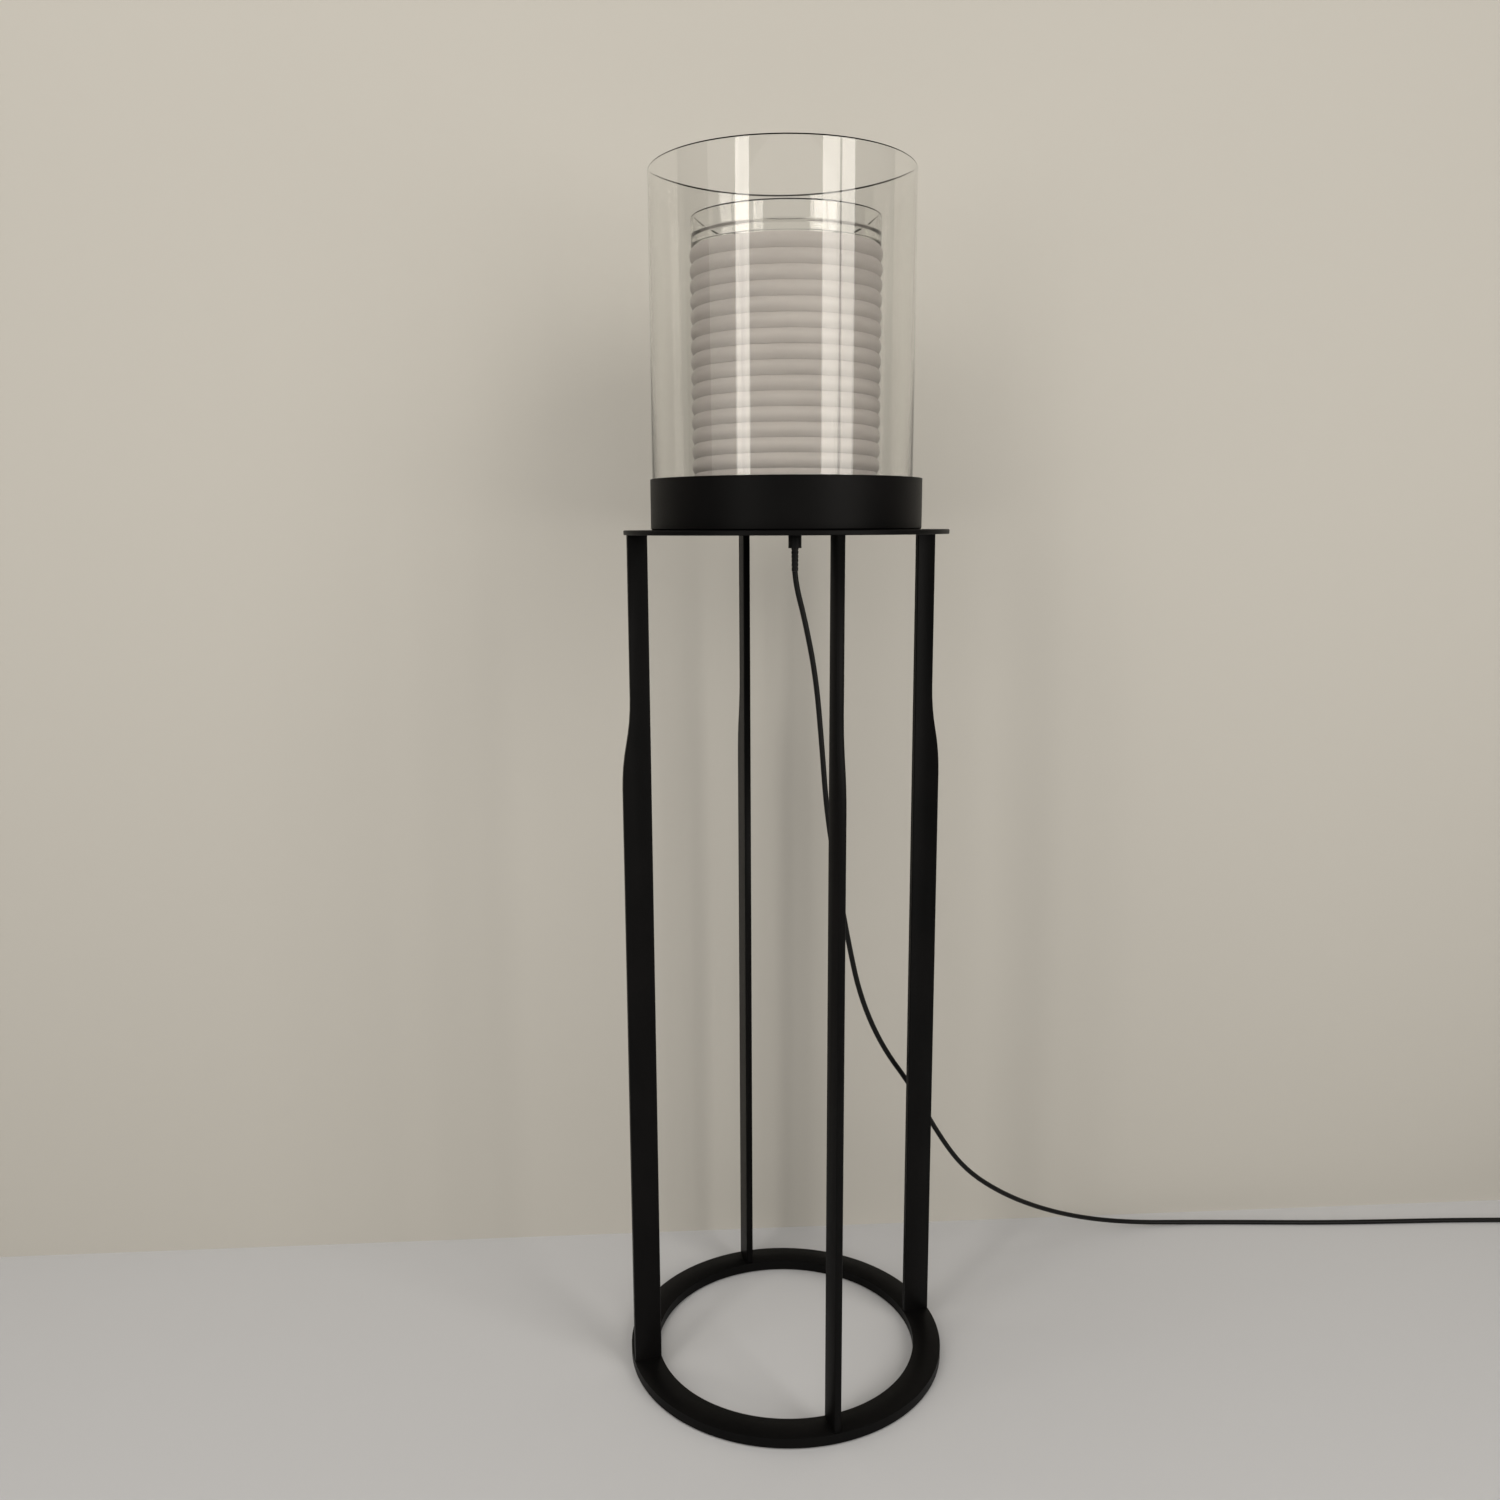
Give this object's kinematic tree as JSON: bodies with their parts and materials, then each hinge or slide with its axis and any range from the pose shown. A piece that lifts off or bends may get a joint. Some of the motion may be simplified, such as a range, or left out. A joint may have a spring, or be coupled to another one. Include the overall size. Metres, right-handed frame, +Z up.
{
  "type": "floor lamp",
  "caption": "Lantern floor lamp: flat ring base, slim flat-bar legs, round plate with a shallow drum, clear glass cylinder around a ribbed inner shade, mains cord.",
  "frame": {"origin": "centre of the base ring's underside on the floor", "axes": "+Z up, -Y towards the front, +X to the right"},
  "size_m": [1.074, 0.3654, 1.0815],
  "materials": {
    "black_powder_coat": "satin black powder coat on steel",
    "clear_glass": "clear blown glass with fire-polished rim",
    "grey_ribbed_glass": "satin grey translucent pressed ribs",
    "eva_foam": "matte black closed-cell foam",
    "zinc_steel": "bright zinc plated",
    "black_oxide_screws": "black zinc plated",
    "phenolic": "moulded black phenolic",
    "ceramic": "glazed ceramic insert",
    "nickel": "nickel plated brass",
    "brass": "bare brass",
    "opal": "opal polycarbonate",
    "bulb_plastic": "white moulded plastic",
    "nylon": "moulded black nylon",
    "cord_rubber": "black flexible PVC sheath",
    "core_brown": "brown PVC insulation",
    "core_blue": "blue PVC insulation",
    "plug_plastic": "moulded black PVC"
  },
  "bodies": {
    "frame": {"base_pad": "eva_foam", "base_ring": "black_powder_coat", "leg_right": "black_powder_coat", "leg_back": "black_powder_coat", "leg_left": "black_powder_coat", "leg_front": "black_powder_coat", "top_plate": "black_powder_coat", "drum": "black_powder_coat", "drum_screws": "black_oxide_screws", "drum_nuts": "zinc_steel", "seat_mat": "eva_foam", "locating_band": "black_powder_coat", "holder_bracket": "zinc_steel", "nipple": "zinc_steel", "nipple_washer": "zinc_steel", "nipple_nut": "zinc_steel", "holder_base": "phenolic", "holder_body": "phenolic", "holder_insert": "ceramic", "screw_shell": "nickel", "centre_contact": "brass", "gland_body": "nylon", "gland_nut": "nylon", "strain_relief": "cord_rubber", "cord_tail": "cord_rubber", "core_live": "core_brown", "core_neutral": "core_blue", "power_cord": "cord_rubber", "cord_coil": "cord_rubber", "plug_relief": "cord_rubber", "plug_body": "plug_plastic", "plug_pins": "nickel"},
    "outer_glass": {"outer_glass": "clear_glass"},
    "inner_shade": {"inner_glass": "clear_glass", "ribbed_sleeve": "grey_ribbed_glass"},
    "bulb": {"bulb_tip": "brass", "bulb_cap": "nickel", "bulb_skirt": "bulb_plastic", "bulb_globe": "opal"}
  },
  "joints": [
    {"name": "outer_glass_lift", "type": "slide", "parent": "frame", "child": "outer_glass", "axis": [0, 0, 1], "range_m": [0, 0.26]},
    {"name": "inner_shade_lift", "type": "slide", "parent": "frame", "child": "inner_shade", "axis": [0, 0, 1], "range_m": [0, 0.3]},
    {"name": "bulb_lift", "type": "slide", "parent": "frame", "child": "bulb", "axis": [0, 0, 1], "range_m": [0, 0.25]}
  ]
}
